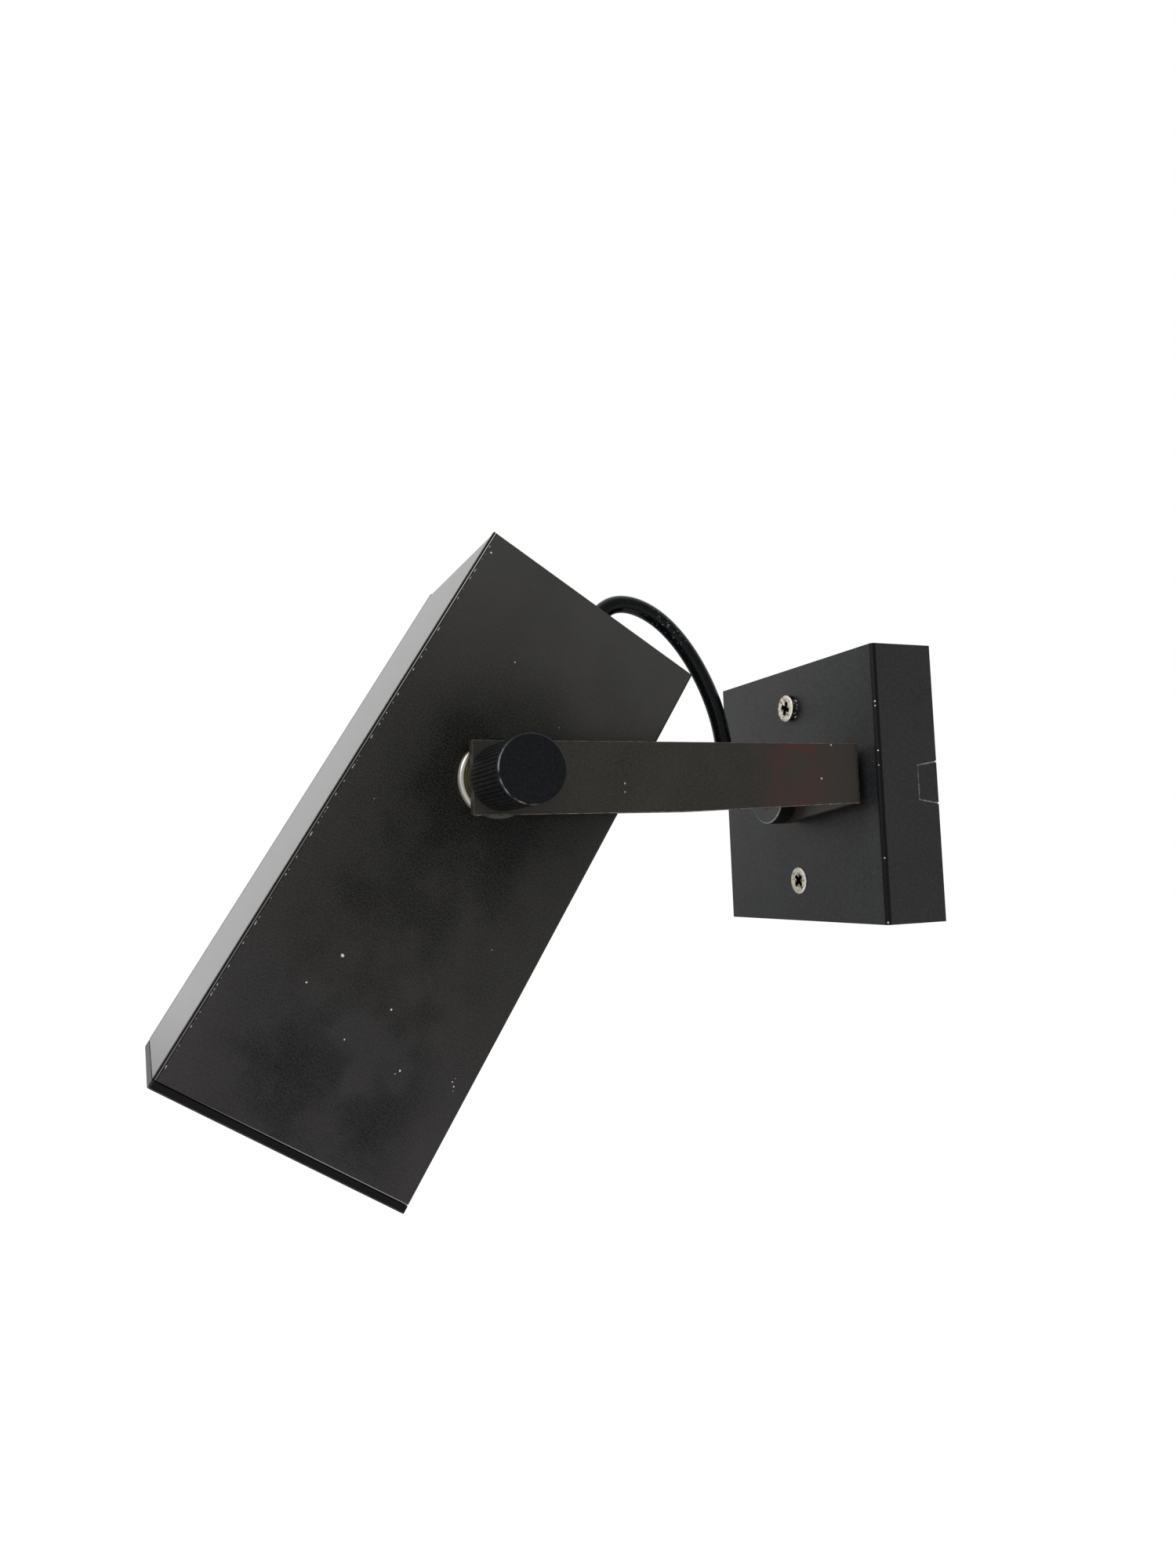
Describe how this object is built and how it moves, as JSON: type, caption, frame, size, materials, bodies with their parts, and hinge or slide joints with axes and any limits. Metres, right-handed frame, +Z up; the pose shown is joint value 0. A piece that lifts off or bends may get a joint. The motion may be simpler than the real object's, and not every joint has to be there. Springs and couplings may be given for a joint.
{
  "type": "spotlight wall light",
  "caption": "Square tubular spotlight with a ridged tilt knob on a flat side arm that swivels on a box-shaped wall base, with a short black flex.",
  "frame": {"origin": "middle of the two wall slots, on the wall plane behind the base", "axes": "-Y out of the wall into the room, +Z up, +X along the wall to the side that carries the arm and the knob"},
  "size_m": [0.1103, 0.228, 0.1786],
  "materials": {
    "shade_metal": "satin dark bronze anodised aluminium sheet",
    "base_metal": "fine satin anthracite lacquer on sheet",
    "arm_metal": "satin dark bronze anodised flat bar",
    "bezel_metal": "satin near-black anodised frame",
    "zinc_sheet": "zinc-plated sheet",
    "nickel_screw": "nickel-plated steel",
    "steel_zinc": "zinc-plated steel",
    "disc_metal": "passivated disc with a bright turned rim",
    "knob_plastic": "black moulded plastic with worn ridges",
    "rubber_black": "black rubber",
    "flex_black": "glossy black flex sheath",
    "core_plastic": "insulated cores",
    "terminal_plastic": "off-white thermoplastic",
    "brass": "bare brass",
    "porcelain": "glazed white porcelain",
    "lamp_glass": "frosted reflector lamp glass"
  },
  "bodies": {
    "wall_base": {"wall_cover": "base_metal", "mounting_bracket": "zinc_sheet", "cover_screws": "nickel_screw", "terminal_block": "terminal_plastic", "terminal_screws": "brass", "terminal_fixing_screw": "steel_zinc", "earth_screw": "brass", "earth_washer": "steel_zinc", "base_cores": "core_plastic"},
    "arm": {"arm": "arm_metal", "swivel_nipple": "steel_zinc", "swivel_boss": "base_metal", "swivel_nuts": "steel_zinc", "inner_washer": "steel_zinc", "spring_washer": "steel_zinc", "thrust_washer": "rubber_black", "flex_bush": "rubber_black", "flex_in_swivel": "flex_black", "flex": "flex_black"},
    "head": {"shade_channel": "shade_metal", "shade_cover": "shade_metal", "front_bezel": "bezel_metal", "cover_fixing_screws": "nickel_screw", "bridge_fixing_screws": "nickel_screw", "flex_grommet": "rubber_black", "flex_in_grommet": "flex_black", "holder_bridge": "zinc_sheet", "holder_nipple": "steel_zinc", "holder_nut": "steel_zinc", "lampholder": "porcelain", "holder_shell": "brass", "holder_contact": "brass", "lamp_cap": "steel_zinc", "lamp_bulb": "lamp_glass", "head_cores": "core_plastic", "tilt_disc": "disc_metal", "pivot_plate": "steel_zinc", "pivot_bolt": "steel_zinc"},
    "knob": {"tilt_knob": "knob_plastic", "knob_insert": "brass"}
  },
  "joints": [
    {"name": "swivel", "type": "hinge", "parent": "wall_base", "child": "arm", "pos_m": [0, 0, 0], "axis": [0, -1, 0], "range_deg": [-170, 55]},
    {"name": "tilt", "type": "hinge", "parent": "arm", "child": "head", "pos_m": [0.0391, -0.14, 0.0025], "axis": [1, 0, 0], "range_deg": [-105, 12], "deforming": ["flex"]},
    {"name": "knob_turn", "type": "hinge", "parent": "head", "child": "knob", "pos_m": [0.0391, -0.14, 0.0025], "axis": [1, 0, 0], "range_deg": [0, 180]}
  ]
}
